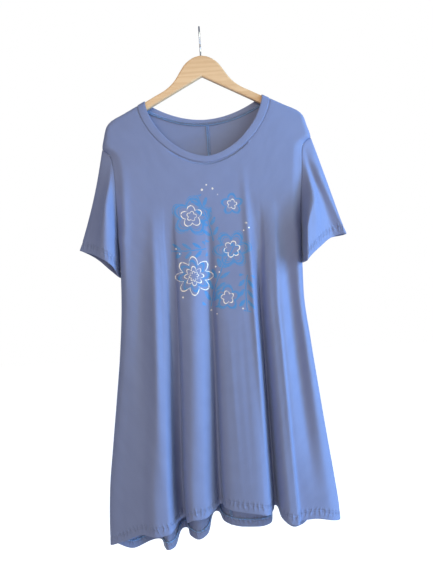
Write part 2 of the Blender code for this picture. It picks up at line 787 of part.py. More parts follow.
def make_hook(collection):
    points = hook_path()
    curve = bpy.data.curves.new("hook", "CURVE")
    curve.dimensions = "3D"
    curve.bevel_depth = WIRE_RADIUS
    curve.bevel_resolution = 2
    curve.use_fill_caps = True
    spline = curve.splines.new("POLY")
    spline.points.add(len(points) - 1)
    for point, place in zip(spline.points, points):
        point.co = (*place, 1)
    curve.materials.append(material("steel"))
    hook = bpy.data.objects.new("hook", curve)
    collection.objects.link(hook)
    return hook


def main():
    clear_scene()
    scene = bpy.context.scene
    dress = bpy.data.collections.new("flared jersey dress on a hanger")
    cutters = bpy.data.collections.new("cutters")
    scene.collection.children.link(dress)
    scene.collection.children.link(cutters)
    make_hanger(dress, cutters)
    make_hook(dress)
    make_front(dress)
    halves = make_back_halves(dress)
    make_neckband(dress)
    make_neck_allowance(dress)
    make_centre_allowance(halves, dress)
    for side in (-1, 1):
        make_sleeve(side, dress)


main()
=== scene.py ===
import math

import bmesh
import bpy
import numpy as np
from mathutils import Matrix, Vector


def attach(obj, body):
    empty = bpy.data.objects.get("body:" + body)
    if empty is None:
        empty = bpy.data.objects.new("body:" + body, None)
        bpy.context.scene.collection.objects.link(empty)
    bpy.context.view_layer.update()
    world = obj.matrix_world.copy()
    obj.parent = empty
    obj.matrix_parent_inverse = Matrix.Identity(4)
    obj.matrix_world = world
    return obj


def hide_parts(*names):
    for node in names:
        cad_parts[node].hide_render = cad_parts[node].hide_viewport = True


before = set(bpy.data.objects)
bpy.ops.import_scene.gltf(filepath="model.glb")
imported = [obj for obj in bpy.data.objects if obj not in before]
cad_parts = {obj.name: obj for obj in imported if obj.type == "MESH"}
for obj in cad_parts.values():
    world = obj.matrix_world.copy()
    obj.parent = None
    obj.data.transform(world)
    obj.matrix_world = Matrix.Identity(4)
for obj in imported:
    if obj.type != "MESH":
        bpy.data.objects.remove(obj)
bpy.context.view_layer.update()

# ---------------------------------------------------------------------------------------------
# Front of the body: one piece of viscose jersey from shoulder to hem, cut to flare. It hangs from
# the hanger's arms, and below the bust it falls in four deep folds. Its hem is turned up 20 mm
# inside. Flowers, leaf sprigs and dots are printed on its chest in sky-blue paint and white foil.
# ---------------------------------------------------------------------------------------------

JERSEY_THICKNESS = 0.0008
FACING_FROM = Vector((0.0, 0.0, -0.7))
STITCH_PITCH = 0.0029
STITCH_RADIUS = 0.00026
STITCH_SHAPE = (
    # share of the pitch, lift above the cloth
    (-0.42, -0.0002), (-0.25, 0.00022), (0.25, 0.00022), (0.42, -0.0002),
)
OVERLOCK_PITCH = 0.0021
OVERLOCK_RADIUS = 0.00038
THREAD_END = 0.5
SHOULDER_SLOPE = 0.52
NECK_SEAM_HALF = 0.150
NECK_SEAM_DROP = 0.1675
FRONT_SEAM_DEPTH = 0.144
FRONT_NECK_DOWN = 0.62
FRONT_NECK_ACROSS = 1.75
TIP_DROP = 0.262
UNDERARM_DROP = 0.470
CHEST_DROP = 0.500
FOLD_START_DROP = 0.400
CORE_HALF = 0.2125
TURN_AT_SHOULDER = 0.009
TURN_AT_SIDE = 0.019
TURN_WIDENS_AT = 0.205
TURN_WIDENS_OVER = 0.09
TURN_AT_ARMHOLE = 1.2
DRAPE_LENGTH = 0.12
ARMHOLE_HALF_WIDTH = 0.019
TIP_SHARPNESS = 12
EDGE_SHARE = 0.05
STEEPEST = 2.8
SLOPE_STEP = 0.002
CREASE_REACH = 3
HALVINGS = 30
TINY = 1e-12
MERGE_DISTANCE = 1e-6

SIDE_OUTLINE = (
    # drop, half on the wearer's right, half on the wearer's left
    (0.1467, 0.1100, 0.1100),
    (0.1675, 0.1500, 0.1500),
    (0.1850, 0.1837, 0.1837),
    (0.1990, 0.2116, 0.2116),
    (0.2120, 0.2235, 0.2240),
    (0.2360, 0.2305, 0.2315),
    (0.2620, 0.2355, 0.2385),
    (0.2720, 0.2240, 0.2245),
    (0.2880, 0.2150, 0.2160),
    (0.3200, 0.2100, 0.2125),
    (0.3550, 0.2080, 0.2095),
    (0.4300, 0.2090, 0.2050),
    (0.4700, 0.2110, 0.2052),
    (0.5000, 0.2095, 0.2042),
    (0.5600, 0.2105, 0.2027),
    (0.6110, 0.2125, 0.2020),
    (0.7200, 0.2220, 0.2115),
    (0.8300, 0.2365, 0.2235),
    (0.9400, 0.2520, 0.2362),
    (1.0300, 0.2640, 0.2472),
    (1.1000, 0.2690, 0.2545),
    (1.1600, 0.2710, 0.2575),
)
SIDE_DROPS = (
    0.1675, 0.1760, 0.1870, 0.1990, 0.2120, 0.2340, TIP_DROP,
    0.2700, 0.2820, 0.3050, 0.3400, 0.3800, 0.4200, 0.4500, UNDERARM_DROP,
    0.5000, 0.5500, 0.6100, 0.6800, 0.7600, 0.8400, 0.9200, 1.0000, 1.0700,
)
FRONT_FOLDS = (
    # x at chest, x at hem, out at hem, hem drop
    (-0.2095, -0.2700, 0.000, 1.158),
    (-0.2040, -0.2650, 0.015, 1.155),
    (-0.1760, -0.2290, 0.031, 1.139),
    (-0.1460, -0.1860, 0.048, 1.119),
    (-0.1250, -0.1520, 0.066, 1.117),
    (-0.1160, -0.1285, 0.064, 1.114),
    (-0.1080, -0.1170, 0.045, 1.111),
    (-0.1010, -0.1115, 0.018, 1.109),
    (-0.0870, -0.0985, 0.004, 1.106),
    (-0.0770, -0.0885, 0.048, 1.098),
    (-0.0550, -0.0720, 0.062, 1.088),
    (-0.0340, -0.0500, 0.057, 1.088),
    (-0.0160, -0.0300, 0.036, 1.083),
    (-0.0060, -0.0130, 0.012, 1.077),
    (0.0070, -0.0050, 0.046, 1.071),
    (0.0210, 0.0090, 0.058, 1.073),
    (0.0400, 0.0360, 0.064, 1.077),
    (0.0630, 0.0700, 0.068, 1.081),
    (0.0740, 0.0810, 0.067, 1.084),
    (0.0850, 0.0910, 0.059, 1.087),
    (0.0940, 0.0990, 0.042, 1.089),
    (0.1010, 0.1045, 0.022, 1.091),
    (0.1080, 0.1095, 0.004, 1.092),
    (0.1180, 0.1190, 0.045, 1.102),
    (0.1290, 0.1370, 0.061, 1.109),
    (0.1390, 0.1510, 0.061, 1.112),
    (0.1480, 0.1610, 0.044, 1.111),
    (0.1700, 0.1890, 0.041, 1.110),
    (0.1880, 0.2240, 0.038, 1.116),
    (0.1970, 0.2500, 0.017, 1.127),
    (0.2020, 0.2560, 0.000, 1.130),
)
FRONT_CREASES = (
    # x and drop at the top, x and drop at the foot, half width, out
    (-0.156, 0.480, -0.178, 0.880, 0.016, -0.006),
    (-0.128, 0.400, -0.140, 1.060, 0.011, 0.005),
    (-0.112, 0.420, -0.118, 1.000, 0.010, -0.004),
    (-0.040, 0.420, -0.060, 1.020, 0.016, 0.005),
    (0.079, 0.320, 0.094, 1.090, 0.007, 0.008),
    (0.096, 0.380, 0.112, 1.080, 0.009, -0.008),
    (0.137, 0.400, 0.158, 1.040, 0.012, 0.006),
    (0.157, 0.400, 0.196, 1.060, 0.016, -0.014),
    (-0.188, 0.300, -0.200, 0.600, 0.012, 0.004),
    (0.026, 0.640, 0.034, 1.080, 0.006, 0.001),
    (0.054, 0.620, 0.060, 1.060, 0.006, -0.001),
)

NECK_ROWS = (0.0, 0.0006, 0.0013, 0.0022, 0.0036)
SEAM_COLUMNS = (0.0, 0.0008, 0.0018, 0.0031, 0.0050)
SEAM_DIP = 0.0008
SEAM_DIP_WIDTH = 0.0024
ROW_STEP = 0.008
COLUMN_STEP = 0.004
LAST_SPAN = 0.07
HEM_ROWS = (
    # heights above the fold of the hem
    0.0235, 0.0218, 0.0205, 0.0190, 0.0176, 0.0160, 0.0145, 0.0128, 0.0105, 0.0080, 0.0050, 0.0025, 0.0008,
)
RAW_EDGE_ROW = 2
NEEDLE_ROWS = (3, 6)
LOOP_ROWS = 2
HEM_GAP = 0.0010
STITCH_DIP = 0.00075
STITCH_DIP_WIDTH = 0.0016


def mix(a, b, share):
    return a + (b - a) * share


def clamp(value, low=0.0, high=1.0):
    return max(low, min(high, value))


def ease(share):
    share = clamp(share)
    return share * share * (3 - 2 * share)


def rounding(share):
    """A quarter round: 0 at 0, rising steeply, level at 1."""
    return math.sqrt(1 - (1 - clamp(share)) ** 2)


def smooth_curve(keys, values, slope_at=None):
    """A curve through the values that never swings past them between two keys."""
    spans = [b - a for a, b in zip(keys, keys[1:])]
    slopes = [(b - a) / span for a, b, span in zip(values, values[1:], spans)]
    tangents = [slopes[0]]
    for before, after, span_before, span_after in zip(slopes, slopes[1:], spans, spans[1:]):
        if before * after <= 0:
            tangents.append(0.0)
            continue
        weight_before = 2 * span_after + span_before
        weight_after = span_after + 2 * span_before
        total = weight_before + weight_after
        tangents.append(total / (weight_before / before + weight_after / after))
    tangents.append(slopes[-1])
    for n, slope in (slope_at or {}).items():
        tangents[n] = min(slope, STEEPEST * min(slopes[n - 1], slopes[n]))

    def value_at(key):
        if key <= keys[0]:
            return values[0] + tangents[0] * (key - keys[0])
        if key >= keys[-1]:
            return values[-1] + tangents[-1] * (key - keys[-1])
        i = next(n for n in range(len(spans)) if key <= keys[n + 1])
        t = (key - keys[i]) / spans[i]
        start = values[i] * (1 + 2 * t) * (1 - t) ** 2 + tangents[i] * spans[i] * t * (1 - t) ** 2
        end = values[i + 1] * (3 - 2 * t) * t * t - tangents[i + 1] * spans[i] * t * t * (1 - t)
        return start + end

    return value_at


OUTLINE_DROPS = [row[0] for row in SIDE_OUTLINE]
BODY_HALF = {
    -1: smooth_curve(OUTLINE_DROPS, [row[1] for row in SIDE_OUTLINE]),
    1: smooth_curve(OUTLINE_DROPS, [row[2] for row in SIDE_OUTLINE]),
}


def armhole_open(drop):
    """How far the armhole's front and back edges stand apart, from 0 at its ends to 1."""
    share = (drop - TIP_DROP) / (UNDERARM_DROP - TIP_DROP)
    return math.sqrt(math.sin(math.pi * share)) if 0 < share < 1 else 0.0


def drape_depth(x, drop, drape):
    """Distance from the seam plane to cloth that falls from the hanger's arm, before any fold."""
    arm_line = NECK_SEAM_DROP + SHOULDER_SLOPE * (abs(x) - NECK_SEAM_HALF)
    fall = max(0.0, drop - arm_line)
    full = TURN_AT_SHOULDER + drape * (1 - math.exp(-fall / DRAPE_LENGTH))
    half = BODY_HALF[-1 if x < 0 else 1]
    slope = max(0.0, (half(drop + SLOPE_STEP) - half(drop - SLOPE_STEP)) / (2 * SLOPE_STEP))
    inward = max(0.0, half(drop) - abs(x)) / math.hypot(1, slope)
    turn = mix(TURN_AT_SHOULDER, TURN_AT_SIDE, ease((drop - TURN_WIDENS_AT) / TURN_WIDENS_OVER))
    opening = armhole_open(drop)
    rise = mix(rounding(inward / turn), ease(inward / (TURN_AT_ARMHOLE * turn)), opening)
    return mix(ARMHOLE_HALF_WIDTH * opening, full, rise)


def crease_out(x, drop, creases):
    """Soft troughs and ridges, each along a line that fades out at both ends."""
    out = 0.0
    for top_x, top_drop, foot_x, foot_drop, half_width, height in creases:
        along = (drop - top_drop) / (foot_drop - top_drop)
        if 0 < along < 1:
            away = (x - mix(top_x, foot_x, along)) / half_width
            if abs(away) < CREASE_REACH:
                out += height * math.sin(math.pi * along) * math.exp(-away * away)
    return out


def front_neck_half(drop, half, top, depth):
    share = clamp((drop - top) / depth)
    return half * (1 - share ** (1 / FRONT_NECK_DOWN)) ** (1 / FRONT_NECK_ACROSS)


class Side:
    """The front or the back of the body: a surface whose columns run from neckline to hem."""

    def __init__(self, sign, folds, hem_level, drape, creases, neck_half, neck_depth):
        self.sign = sign
        self.hem_level = hem_level
        self.drape = drape
        self.creases = creases
        self.neck_half = neck_half
        self.neck_depth = neck_depth
        steps = [math.hypot(b[1] - a[1], b[2] - a[2]) for a, b in zip(folds, folds[1:])]
        self.girth = sum(steps)
        self.places = [sum(steps[:n]) / self.girth for n in range(len(folds))]
        chest_width = folds[-1][0] - folds[0][0]
        hem_width = folds[-1][1] - folds[0][1]
        self.chest_share = smooth_curve(
            self.places, [(row[0] - folds[0][0]) / chest_width for row in folds]
        )
        outs = [row[2] for row in folds]
        turns = [
            n for n in range(1, len(outs) - 1) if (outs[n] - outs[n - 1]) * (outs[n + 1] - outs[n]) < 0
        ]
        self.hem_share = smooth_curve(
            self.places,
            [(row[1] - folds[0][1]) / hem_width for row in folds],
            {n: self.girth / hem_width for n in turns},
        )
        self.fold_out = smooth_curve(self.places, outs)
        self.hem_drop = smooth_curve(self.places, [row[3] for row in folds])

    def across(self, place, drop):
        """x of a column at a drop."""
        toward_hem = max(0.0, (drop - CHEST_DROP) / (self.hem_level - CHEST_DROP))
        share = mix(self.chest_share(place), self.hem_share(place), toward_hem)
        right = BODY_HALF[-1](drop)
        left = BODY_HALF[1](drop)
        if drop > UNDERARM_DROP:
            return mix(-right, left, share)
        core_right = min(right, CORE_HALF)
        core_left = min(left, CORE_HALF)
        centred = 2 * share - 1
        flare = (left - core_left) if centred > 0 else (core_right - right)
        return mix(-core_right, core_left, share) + flare * centred**TIP_SHARPNESS

    def out(self, place, x, drop):
        """Distance of the surface from the seam plane."""
        grown = max(0.0, (drop - FOLD_START_DROP) / (self.hem_level - FOLD_START_DROP))
        plain = drape_depth(x, drop, self.drape)
        edge = rounding(min(place, 1 - place) / EDGE_SHARE)
        folded = mix(plain, self.fold_out(place), grown)
        return max(0.0, folded + edge * crease_out(x, drop, self.creases))

    def point(self, place, drop):
        x = self.across(place, drop)
        return Vector((x, self.sign * self.out(place, x, drop), -drop))

    def top_drop(self, place):
        """Drop at which a column meets the neckline's seam."""
        high = NECK_SEAM_DROP
        low = NECK_SEAM_DROP + self.neck_depth
        for _ in range(HALVINGS):
            middle = (high + low) / 2
            neck = self.neck_half(middle, NECK_SEAM_HALF, NECK_SEAM_DROP, self.neck_depth)
            if abs(self.across(place, middle)) < neck:
                high = middle
            else:
                low = middle
        return high

    def rows(self, place):
        """Drops of a column's points, closer together at the neckline's seam and at the hem."""
        top = self.top_drop(place)
        hem = self.hem_drop(place)
        share = self.chest_share(place)
        right_fall = self.hem_drop(0) - NECK_SEAM_DROP
        left_fall = self.hem_drop(1) - NECK_SEAM_DROP
        marks = []
        for drop in SIDE_DROPS:
            down = drop - NECK_SEAM_DROP
            marks.append(mix(top, hem, mix(down / right_fall, down / left_fall, share)))
        marks.append(hem - HEM_ROWS[0])
        drops = [top + step for step in NECK_ROWS]
        spans = [b - a for a, b in zip(SIDE_DROPS, SIDE_DROPS[1:])] + [LAST_SPAN]
        for a, b, span in zip(marks, marks[1:], spans):
            count = max(1, math.ceil(span / ROW_STEP))
            drops += [mix(a, b, k / count) for k in range(1, count)] + [b]
        return drops + [hem - up for up in HEM_ROWS[1:]]

    def column_places(self, first, last):
        """Places of the columns between two seams, closer together beside a seam."""
        beside = [step / self.girth for step in SEAM_COLUMNS]
        start = first + beside[-1]
        end = last - beside[-1]
        count = round((end - start) * self.girth / COLUMN_STEP)
        between = [mix(start, end, k / count) for k in range(1, count)]
        return [first + b for b in beside] + between + [last - b for b in reversed(beside)]


def unit(vectors):
    """The same directions at a length of 1."""
    return vectors / np.maximum(np.linalg.norm(vectors, axis=-1, keepdims=True), TINY)


def outward(points, sign):
    """Normals of a grid of points, turned to the front for sign -1 and to the back for 1."""
    across = np.gradient(points, axis=0)
    down = np.gradient(points, axis=1)
    normals = unit(np.cross(across, down))
    return normals if normals[..., 1].sum() * sign > 0 else -normals


def distances(points, axis):
    """Length along the cloth from the first column or row."""
    steps = np.linalg.norm(np.diff(points, axis=axis), axis=2)
    first = np.zeros_like(np.take(steps, [0], axis=axis))
    return np.concatenate([first, np.cumsum(steps, axis=axis)], axis=axis)


def dipped(points, normals, ends, top):
    """The cloth drawn in a little along its seams and its hem's two rows of stitches."""
    across = distances(points, 0)
    down = distances(points, 1)
    away = np.full(across.shape, 1.0)
    if ends[0]:
        away = np.minimum(away, across)
    if ends[1]:
        away = np.minimum(away, across[-1:, :] - across)
    if top:
        away = np.minimum(away, down)
    dip = SEAM_DIP * np.exp(-((away / SEAM_DIP_WIDTH) ** 2))
    above_hem = down[:, -1:] - down
    for row in NEEDLE_ROWS:
        dip += STITCH_DIP * np.exp(-(((above_hem - HEM_ROWS[row]) / STITCH_DIP_WIDTH) ** 2))
    return points - normals * dip[..., None]


def turned_up(points, normals):
    """The grid with its hem folded round and laid up the inside of the cloth."""
    turned = len(HEM_ROWS) - RAW_EDGE_ROW
    edge = points[:, -1]
    inward = -normals[:, -1]
    down = unit(points[:, -1] - points[:, -2])
    fold = [
        edge + (inward * (1 - math.cos(turn)) + down * math.sin(turn)) * HEM_GAP / 2
        for turn in (math.pi / 4, math.pi / 2, 3 * math.pi / 4)
    ]
    inside = (points - normals * HEM_GAP)[:, -turned:][:, ::-1]
    return np.concatenate([points, np.stack(fold, axis=1), inside], axis=1)


def cloth_sheet(name, points, edge_row, closed=False, thickness=JERSEY_THICKNESS):
    """A sheet through a grid of points. Its UV map holds its lengths in metres, across and down."""
    columns, rows = points.shape[:2]
    across = distances(points, 0)
    down = distances(points, 1)
    across = across - across[-1:, :] / 2
    above_hem = np.ones_like(down) if edge_row is None else np.abs(down - down[:, edge_row, None])
    index = np.arange(columns * rows).reshape(columns, rows)
    quads = np.stack([index[:-1, :-1], index[1:, :-1], index[1:, 1:], index[:-1, 1:]], axis=-1)
    quads = quads.reshape(-1, 4)
    mesh = bpy.data.meshes.new(name)
    mesh.from_pydata(points.reshape(-1, 3).tolist(), [], quads.tolist())
    lengths = np.stack([across, down], axis=-1).reshape(-1, 2)[quads.reshape(-1)]
    mesh.uv_layers.new(name="cloth").data.foreach_set("uv", lengths.astype(np.float32).ravel())
    hem = mesh.attributes.new("above_hem", "FLOAT", "POINT")
    hem.data.foreach_set("value", above_hem.astype(np.float32).ravel())
    bm = bmesh.new()
    bm.from_mesh(mesh)
    if closed:
        bmesh.ops.remove_doubles(bm, verts=bm.verts, dist=MERGE_DISTANCE)
    bmesh.ops.recalc_face_normals(bm, faces=bm.faces)
    if not closed and sum(f.normal.dot(f.calc_center_median() - FACING_FROM) for f in bm.faces) < 0:
        bmesh.ops.reverse_faces(bm, faces=bm.faces)
    bm.to_mesh(mesh)
    bm.free()
    mesh.shade_smooth()
    piece = bpy.data.objects.new(name, mesh)
    bpy.context.scene.collection.objects.link(piece)
    if thickness:
        wall = piece.modifiers.new("Thickness", "SOLIDIFY")
        wall.thickness = thickness
        wall.offset = 0
        wall.material_offset = 1
        wall.material_offset_rim = 1
    return piece


def thread(name, paths, normals, radius, material):
    """Sewing thread along paths on the cloth: four-sided tubes, thinner at their ends."""
    count, length = paths.shape[:2]
    along = unit(np.gradient(paths, axis=1))
    beside = unit(np.cross(along, normals))
    above = np.cross(beside, along)
    width = np.full(length, radius)
    width[[0, -1]] = radius * THREAD_END
    width = width[None, :, None]
    ring = [paths + beside * width, paths + above * width, paths - beside * width, paths - above * width]
    places = np.stack(ring, axis=2)
    index = np.arange(count * length * 4).reshape(count, length, 4)
    turned = np.roll(index, -1, axis=2)
    quads = np.stack([index[:, :-1], index[:, 1:], turned[:, 1:], turned[:, :-1]], axis=-1)
    mesh = bpy.data.meshes.new(name)
    mesh.from_pydata(places.reshape(-1, 3).tolist(), [], quads.reshape(-1, 4).tolist())
    mesh.shade_smooth()
    mesh.materials.append(material)
    piece = bpy.data.objects.new(name, mesh)
    bpy.context.scene.collection.objects.link(piece)
    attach(piece, "root")
    return piece


def evenly(line, normals, places):
    """Points and normals at given lengths along a line."""
    steps = np.linalg.norm(np.diff(line, axis=0), axis=1)
    lengths = np.concatenate([[0], np.cumsum(steps)])
    at = np.stack([np.interp(places, lengths, line[:, n]) for n in range(3)], axis=-1)
    facing = np.stack([np.interp(places, lengths, normals[:, n]) for n in range(3)], axis=-1)
    return at, facing


def line_length(line):
    return float(np.linalg.norm(np.diff(line, axis=0), axis=1).sum())


def stitches(name, lines, material):
    """Rows of machine stitches along lines on the cloth, each a short raised bar of thread."""
    paths = []
    facings = []
    for line, normals in lines:
        count = int(line_length(line) / STITCH_PITCH)
        starts = (np.arange(count) + 0.5) * STITCH_PITCH
        for share, lift in STITCH_SHAPE:
            at, facing = evenly(line, normals, starts + share * STITCH_PITCH)
            paths.append(at + facing * (JERSEY_THICKNESS / 2 + lift))
            facings.append(facing)
    bends = len(STITCH_SHAPE)
    bars = [np.stack(paths[n : n + bends], axis=1) for n in range(0, len(paths), bends)]
    faces = [np.stack(facings[n : n + bends], axis=1) for n in range(0, len(facings), bends)]
    return thread(
        name, np.concatenate(bars), np.concatenate(faces), STITCH_RADIUS, material
    )


def overlock(name, edge, inner, normals, material, lift):
    """Thread looped over a raw edge, back and forth between the edge and a line inside it."""
    length = line_length(edge)
    count = int(length / OVERLOCK_PITCH) * 2
    places = np.arange(count + 1) * length / count
    at_edge, facing = evenly(edge, normals, places)
    at_inner, _ = evenly(inner, normals, places * line_length(inner) / length)
    turns = (np.arange(count + 1) % 2)[:, None]
    loops = np.where(turns == 0, at_edge, at_inner) + facing * lift
    needle = at_inner + facing * (lift + OVERLOCK_RADIUS)
    pair = np.stack([loops, needle])
    return thread(name, pair, np.stack([facing, facing]), OVERLOCK_RADIUS, material)


def panel_points(side, first, last, ends):
    """A panel of the body between two seams, dipped along them, before its hem is turned up."""
    places = side.column_places(first, last)
    points = np.array([[side.point(place, drop) for drop in side.rows(place)] for place in places])
    return dipped(points, outward(points, side.sign), ends, top=True)


class Value:
    """A value in a material. Sums and products on it add Math nodes."""

    def __init__(self, socket):
        self.socket = socket

    def node(self, kind, settings, inputs, output=0):
        """Any other node of the material: its settings first, then its sockets' values or links."""
        tree = self.socket.id_data
        made = tree.nodes.new(kind)
        for name, setting in settings.items():
            setattr(made, name, setting)
        for name, given in inputs.items():
            if isinstance(given, Value):
                tree.links.new(given.socket, made.inputs[name])
            else:
                made.inputs[name].default_value = given
        return Value(made.outputs[output])

    def maths(self, operation, *others):
        return self.node("ShaderNodeMath", {"operation": operation}, dict(enumerate((self, *others))))

    def blend(self, first, second):
        """The first colour where this value is 0, the second where it is 1."""
        return self.node("ShaderNodeMix", {"data_type": "RGBA"}, {0: self, 6: first, 7: second}, 2)

    def within(self, low, high):
        """Rises from 0 to 1 between two values."""
        settings = {"clamp": True, "interpolation_type": "SMOOTHSTEP"}
        return self.node("ShaderNodeMapRange", settings, {0: self, 1: low, 2: high})

    def noise(self, scale, detail):
        inputs = {"Vector": self, "Scale": scale, "Detail": detail}
        return self.node("ShaderNodeTexNoise", {}, inputs)

    def scaled(self, by_x, by_y, by_z):
        return self.node("ShaderNodeVectorMath", {"operation": "MULTIPLY"}, {0: self, 1: (by_x, by_y, by_z)})

    def __add__(self, other):
        return self.maths("ADD", other)

    def __sub__(self, other):
        return self.maths("SUBTRACT", other)

    def __mul__(self, other):
        return self.maths("MULTIPLY", other)

    def __truediv__(self, other):
        return self.maths("DIVIDE", other)

    def __rsub__(self, other):
        return self * -1.0 + other

    def __abs__(self):
        return self.maths("ABSOLUTE")

    __rmul__ = __mul__


def new_material(name, colour, roughness, **uniform):
    """A material with its shader, and the shader's sockets that are the same all over."""
    made = bpy.data.materials.new(name)
    made.use_nodes = True
    shader = made.node_tree.nodes["Principled BSDF"]
    shader.inputs["Base Color"].default_value = colour
    shader.inputs["Roughness"].default_value = roughness
    made.diffuse_color = colour
    for socket, value in uniform.items():
        shader.inputs[socket.replace("_", " ")].default_value = value
    return made, shader


def put_in(value, shader, socket):
    value.socket.id_data.links.new(value.socket, shader.inputs[socket])


def uv_of(material):
    lengths = material.node_tree.nodes.new("ShaderNodeUVMap")
    lengths.uv_map = "cloth"
    return Value(lengths.outputs["UV"])


def above_hem_of(material):
    hem = material.node_tree.nodes.new("ShaderNodeAttribute")
    hem.attribute_name = "above_hem"
    return Value(hem.outputs["Fac"])


WALE = 0.00065
COURSE = 0.00055
JERSEY_DEEP = (0.177, 0.219, 0.396, 1.0)
JERSEY_LIGHT = (0.188, 0.233, 0.418, 1.0)
JERSEY_SHEEN = (0.52, 0.70, 1.0, 1.0)
PUCKER_PITCH = 0.0105
PUCKER_HEIGHT = 0.0014
PUCKER_MIDDLE = 0.0165
PUCKER_SPREAD = 0.0075
PUCKER_FLOOR = -0.2
KNIT_HEIGHT = 0.00004
PUCKER_WANDER = 7.0
STITCH_LEAN = 1.6
JERSEY_ROUGHNESS = 0.56
JERSEY_UNEVEN = 0.10
PAINT_HEIGHT = 0.00006
UNDER_PAINT = 0.7


def jersey_material(name, printed=False):
    """Fine viscose jersey: rows of V-shaped stitches, a soft sheen, and puckers along its hems."""
    material, shader = new_material(
        name, JERSEY_LIGHT, roughness=0.62, Sheen_Weight=0.30, Sheen_Roughness=0.35,
        Sheen_Tint=JERSEY_SHEEN, Specular_IOR_Level=0.30,
    )
    lengths = uv_of(material)
    parts = lengths.node("ShaderNodeSeparateXYZ", {}, {0: lengths})
    across = parts
    down = Value(parts.socket.node.outputs[1])
    wale = (across / WALE).maths("FRACT") - 0.5
    rib = (wale * 2 * math.pi).maths("COSINE")
    arms = abs(wale) * STITCH_LEAN + down / COURSE
    stitch = (arms * 2 * math.pi).maths("SINE")
    cloudy = lengths.noise(scale=24.0, detail=3.0)
    colour = cloudy.within(0.30, 0.70).blend(JERSEY_DEEP, JERSEY_LIGHT)
    roughness = cloudy * JERSEY_UNEVEN + JERSEY_ROUGHNESS
    hem = above_hem_of(material)
    drawn_in = (-1.0 * ((hem - PUCKER_MIDDLE) / PUCKER_SPREAD).maths("POWER", 2.0)).maths("EXPONENT")
    uneven = lengths.noise(scale=60.0, detail=1.0) * PUCKER_WANDER
    ripple = (across * (2 * math.pi / PUCKER_PITCH) + uneven).maths("SINE")
    pucker = ripple.maths("MAXIMUM", PUCKER_FLOOR)
    height = (rib * 0.5 + stitch * 0.5) * KNIT_HEIGHT + pucker * drawn_in * PUCKER_HEIGHT
    if printed:
        colour, roughness, metallic, paint = chest_print(material, colour, roughness)
        put_in(metallic, shader, "Metallic")
        height = height * (1.0 - paint * UNDER_PAINT) + paint * PAINT_HEIGHT
    put_in(colour, shader, "Base Color")
    put_in(roughness, shader, "Roughness")
    bump = height.node("ShaderNodeBump", {}, {"Strength": 1.0, "Distance": 1.0, "Height": height})
    put_in(bump, shader, "Normal")
    return material


SKY_PAINT = (0.048, 0.235, 0.550, 1.0)
WHITE_FOIL = (0.87, 0.82, 0.73, 1.0)
FLOWERS = (
    # x, drop, petals, outlines: (radius, turn, half width of the line, 1 in foil)
    (-0.041, 0.430, 5, (
        (0.040, 0.30, 0.0030, 0), (0.0460, 0.36, 0.0008, 0), (0.032, 0.26, 0.0009, 0),
        (0.024, 0.93, 0.0010, 1), (0.011, 0.30, 0.0008, 1),
    )),
    (0.044, 0.508, 6, (
        (0.037, 0.10, 0.0028, 0), (0.043, 0.18, 0.0008, 0), (0.030, 0.06, 0.0009, 0),
        (0.018, 0.62, 0.0011, 1),
    )),
    (-0.043, 0.563, 8, (
        (0.042, 0.00, 0.0012, 1), (0.034, 0.39, 0.0026, 0), (0.029, 0.30, 0.0007, 0),
        (0.021, 0.00, 0.0010, 1), (0.011, 0.39, 0.0008, 1),
    )),
    (0.028, 0.614, 5, ((0.025, 0.50, 0.0024, 0), (0.029, 0.58, 0.0006, 0), (0.014, 1.13, 0.0009, 1))),
    (0.050, 0.408, 5, ((0.022, 0.80, 0.0022, 0), (0.025, 0.72, 0.0006, 0), (0.011, 0.20, 0.0009, 1))),
)
SPRIGS = (
    # x and drop of the stem's foot, heading in degrees, length, bend, leaf pitch, leaf length
    (-0.010, 0.632, 78, 0.145, 1.6, 0.0250, 0.0210),
    (0.004, 0.488, 98, 0.108, -1.4, 0.0230, 0.0190),
    (-0.012, 0.503, 190, 0.078, 2.2, 0.0220, 0.0180),
    (0.074, 0.566, 258, 0.080, -2.0, 0.0220, 0.0180),
)
DOTS = (
    # x, drop, radius
    (-0.015, 0.372, 0.0026), (-0.004, 0.362, 0.0018), (0.009, 0.371, 0.0022), (0.020, 0.385, 0.0016),
    (0.078, 0.452, 0.0024), (0.084, 0.463, 0.0017), (0.072, 0.468, 0.0015), (0.006, 0.545, 0.0021),
    (0.013, 0.557, 0.0015), (-0.080, 0.500, 0.0022), (-0.072, 0.512, 0.0015), (-0.010, 0.640, 0.0020),
    (0.002, 0.648, 0.0014), (0.060, 0.640, 0.0018), (-0.070, 0.608, 0.0018),
)
HAND_WOBBLE = 0.004
PETAL_DEPTH = 0.38
LINE_FADE = (0.6, 1.4)
DOT_FADE = (0.8, 1.1)
STEM_FADE = (0.0009, 0.0018)
SPRIG_END = 0.001
LEAF_FADE = (0.78, 0.98)
LEAF_SLANT = 0.9
LEAF_MIDDLE = 0.55
LEAF_ACROSS = 15.0
LEAF_ALONG = 4.6
PAINT_BRUSHED = 0.35
PAINT_PATCHY = 0.25
FOIL_BRUSHED = 0.25
FOIL_PATCHY = 0.7
PRINT_ROUGHNESS = 0.42
FOIL_METAL = 0.25


